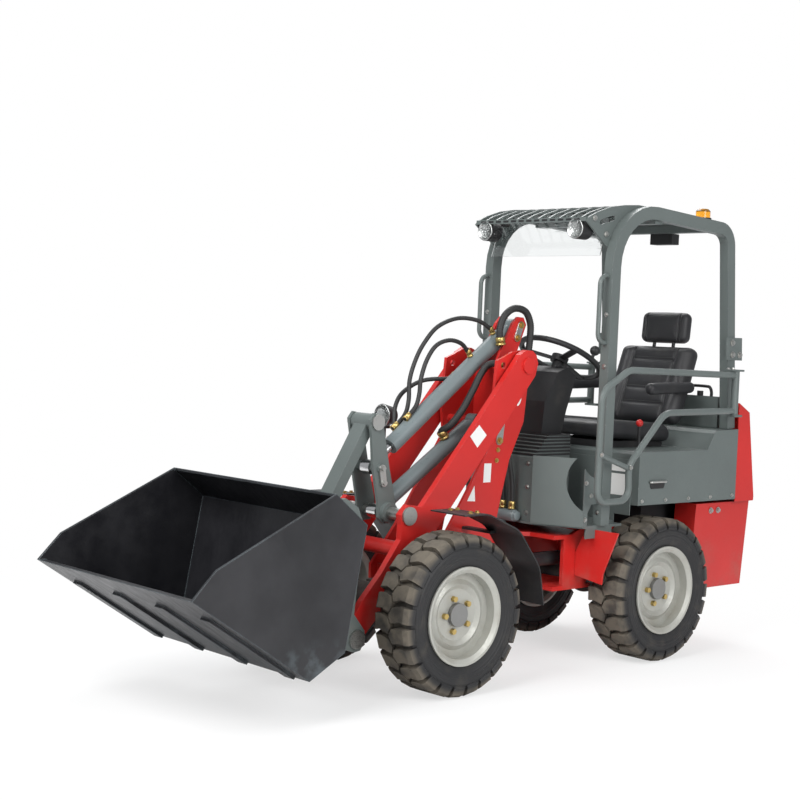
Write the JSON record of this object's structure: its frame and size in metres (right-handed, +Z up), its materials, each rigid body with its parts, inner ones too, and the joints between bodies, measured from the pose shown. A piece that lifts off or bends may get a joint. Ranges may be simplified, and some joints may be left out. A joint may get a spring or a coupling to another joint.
{
  "type": "compact articulated wheel loader",
  "caption": "Compact articulated yard loader with lift arm, tilt linkage, quick hitch, rolled-back bucket, open operator station, guard frame and lugged tyres.",
  "frame": {"origin": "on the ground under the middle of the overall length and width", "axes": "+X towards the bucket, +Y to the loader's left, +Z up"},
  "size_m": [3.5602, 1.1, 2.194],
  "materials": {
    "red_paint": "gloss",
    "grey_paint": "semi-gloss",
    "black_paint": "semi-gloss",
    "axle_paint": "satin",
    "engine": "matt",
    "black_plastic": "matt",
    "seat_cover": "satin",
    "clear_panel": "gloss",
    "lamp": "gloss",
    "amber": "gloss",
    "chrome": "mirror",
    "zinc": "satin",
    "cyl_paint": "gloss",
    "tyre": "matt",
    "rim": "satin"
  },
  "bodies": {
    "rear_frame": {"rear_chassis": "red_paint", "counterweight": "red_paint", "rear_axle": "axle_paint", "engine_block": "engine", "hood": "grey_paint", "cab_floor": "grey_paint", "cowl": "black_plastic", "steering_column": "black_plastic", "seat_base": "black_plastic", "seat_cushion": "seat_cover", "seat_back": "seat_cover", "rops_frame": "grey_paint", "roof": "grey_paint", "visor": "clear_panel", "work_lights": "lamp", "beacon": "amber", "handrails": "grey_paint", "control_box": "black_plastic", "controls": "black_plastic"},
    "front_frame": {"front_chassis": "red_paint", "front_axle": "axle_paint", "front_fenders": "black_plastic", "headlamp": "lamp"},
    "arm": {"lift_arm": "red_paint"},
    "lever_pin_body": {"lever_pins": "zinc"},
    "lever": {"tilt_lever": "grey_paint"},
    "link_pin_body": {"link_pin": "zinc"},
    "link": {"tilt_link": "grey_paint"},
    "hitch_pin_body": {"hitch_pins": "zinc"},
    "bucket_body": {"quick_hitch": "grey_paint", "bucket": "black_paint"},
    "lift_barrel_body": {"lift_barrel": "cyl_paint"},
    "lift_rod_body": {"lift_rod": "chrome"},
    "tilt_barrel_body": {"tilt_barrel": "cyl_paint"},
    "tilt_rod_body": {"tilt_rod": "chrome"},
    "steer_barrel_body": {"steer_barrel": "cyl_paint"},
    "steer_rod_body": {"steer_rod": "chrome"},
    "wheel_fl": {"tyre_fl": "tyre", "rim_fl": "rim"},
    "wheel_fr": {"tyre_fr": "tyre", "rim_fr": "rim"},
    "wheel_rl": {"tyre_rl": "tyre", "rim_rl": "rim"},
    "wheel_rr": {"tyre_rr": "tyre", "rim_rr": "rim"},
    "gate": {"side_gate": "grey_paint"},
    "bonnet": {"rear_bonnet": "red_paint"},
    "wheel_hand": {"steering_wheel": "black_plastic"}
  },
  "joints": [
    {"name": "articulation", "type": "hinge", "parent": "rear_frame", "child": "front_frame", "pos_m": [-0.36515, 0, 0.475], "axis": [0, 0, 1], "range_deg": [-40, 40]},
    {"name": "wheel_spin_fl", "type": "hinge", "parent": "front_frame", "child": "wheel_fl", "pos_m": [0.36585, 0.41, 0.343], "axis": [0, 1, 0], "continuous": true},
    {"name": "wheel_spin_fr", "type": "hinge", "parent": "front_frame", "child": "wheel_fr", "pos_m": [0.36585, -0.41, 0.343], "axis": [0, 1, 0], "continuous": true},
    {"name": "wheel_spin_rl", "type": "hinge", "parent": "rear_frame", "child": "wheel_rl", "pos_m": [-0.97615, 0.41, 0.343], "axis": [0, 1, 0], "continuous": true},
    {"name": "wheel_spin_rr", "type": "hinge", "parent": "rear_frame", "child": "wheel_rr", "pos_m": [-0.97615, -0.41, 0.343], "axis": [0, 1, 0], "continuous": true},
    {"name": "arm_lift", "type": "hinge", "parent": "front_frame", "child": "arm", "pos_m": [-0.26515, 0, 1.39], "axis": [0, -1, 0], "range_deg": [-4, 90]},
    {"name": "hitch_level", "type": "hinge", "parent": "arm", "child": "hitch_pin_body", "pos_m": [0.73534, 0, 0.23907], "axis": [0, 1, 0], "range_deg": [-6, 88]},
    {"name": "bucket_tilt", "type": "hinge", "parent": "hitch_pin_body", "child": "bucket_body", "pos_m": [0.73534, 0, 0.23907], "axis": [0, 1, 0], "range_deg": [-8, 65]},
    {"name": "lever_level", "type": "hinge", "parent": "arm", "child": "lever_pin_body", "pos_m": [0.44044, 0, 0.73532], "axis": [0, 1, 0], "range_deg": [-6, 88]},
    {"name": "lever_turn", "type": "hinge", "parent": "lever_pin_body", "child": "lever", "pos_m": [0.44044, 0, 0.73532], "axis": [0, 1, 0], "range_deg": [-10, 67]},
    {"name": "link_level", "type": "hinge", "parent": "lever", "child": "link_pin_body", "pos_m": [0.51744, 0, 1.12783], "axis": [0, -1, 0], "range_deg": [-6, 88]},
    {"name": "link_turn", "type": "hinge", "parent": "link_pin_body", "child": "link", "pos_m": [0.51744, 0, 1.12783], "axis": [0, -1, 0], "range_deg": [-10, 67]},
    {"name": "lift_barrel_turn", "type": "hinge", "parent": "front_frame", "child": "lift_barrel_body", "pos_m": [-0.14515, 0, 1.126], "axis": [0, -1, 0], "range_deg": [-6, 102]},
    {"name": "lift_rod_slide", "type": "slide", "parent": "lift_barrel_body", "child": "lift_rod_body", "axis": [0.8319, 0, -0.555], "range_m": [-0.03, 0.42]},
    {"name": "tilt_barrel_turn", "type": "hinge", "parent": "front_frame", "child": "tilt_barrel_body", "pos_m": [-0.36515, 0, 1.572], "axis": [0, -1, 0], "range_deg": [-5, 83]},
    {"name": "tilt_rod_slide", "type": "slide", "parent": "tilt_barrel_body", "child": "tilt_rod_body", "axis": [0.7983, 0, -0.6023], "range_m": [-0.02, 0.13]},
    {"name": "steer_barrel_turn", "type": "hinge", "parent": "rear_frame", "child": "steer_barrel_body", "pos_m": [-0.72515, 0.16, 0.48], "axis": [0, 0, 1], "range_deg": [-13, 13]},
    {"name": "steer_rod_slide", "type": "slide", "parent": "steer_barrel_body", "child": "steer_rod_body", "axis": [1, 0, 0], "range_m": [-0.12, 0.12]},
    {"name": "gate_swing", "type": "hinge", "parent": "rear_frame", "child": "gate", "pos_m": [-1.51215, 0.47, 1.29], "axis": [0, 0, 1], "range_deg": [0, 100]},
    {"name": "bonnet_lift", "type": "hinge", "parent": "rear_frame", "child": "bonnet", "pos_m": [-1.63015, 0, 1.244], "axis": [0, 1, 0], "range_deg": [0, 70]},
    {"name": "steering_wheel_turn", "type": "hinge", "parent": "rear_frame", "child": "wheel_hand", "pos_m": [-0.72115, 0, 1.427], "axis": [-0.4695, 0, 0.8829], "range_deg": [-640, 640]}
  ],
  "couplings": [
    {"joint": "hitch_level", "follows": "arm_lift", "ratio": 0.95},
    {"joint": "lever_level", "follows": "arm_lift", "ratio": 0.95},
    {"joint": "link_level", "follows": "arm_lift", "ratio": 0.95},
    {"joint": "lever_turn", "follows": "bucket_tilt", "ratio": 1},
    {"joint": "link_turn", "follows": "bucket_tilt", "ratio": 1},
    {"joint": "lift_barrel_turn", "follows": "arm_lift", "ratio": 1.07},
    {"joint": "lift_rod_slide", "follows": "arm_lift", "m_per_rad": 0.2566},
    {"joint": "tilt_barrel_turn", "follows": "arm_lift", "ratio": 0.885},
    {"joint": "tilt_rod_slide", "follows": "bucket_tilt", "m_per_rad": 0.0974},
    {"joint": "steer_barrel_turn", "follows": "articulation", "ratio": 0.29},
    {"joint": "steer_rod_slide", "follows": "articulation", "m_per_rad": -0.157},
    {"joint": "steering_wheel_turn", "follows": "articulation", "ratio": 15.75}
  ]
}
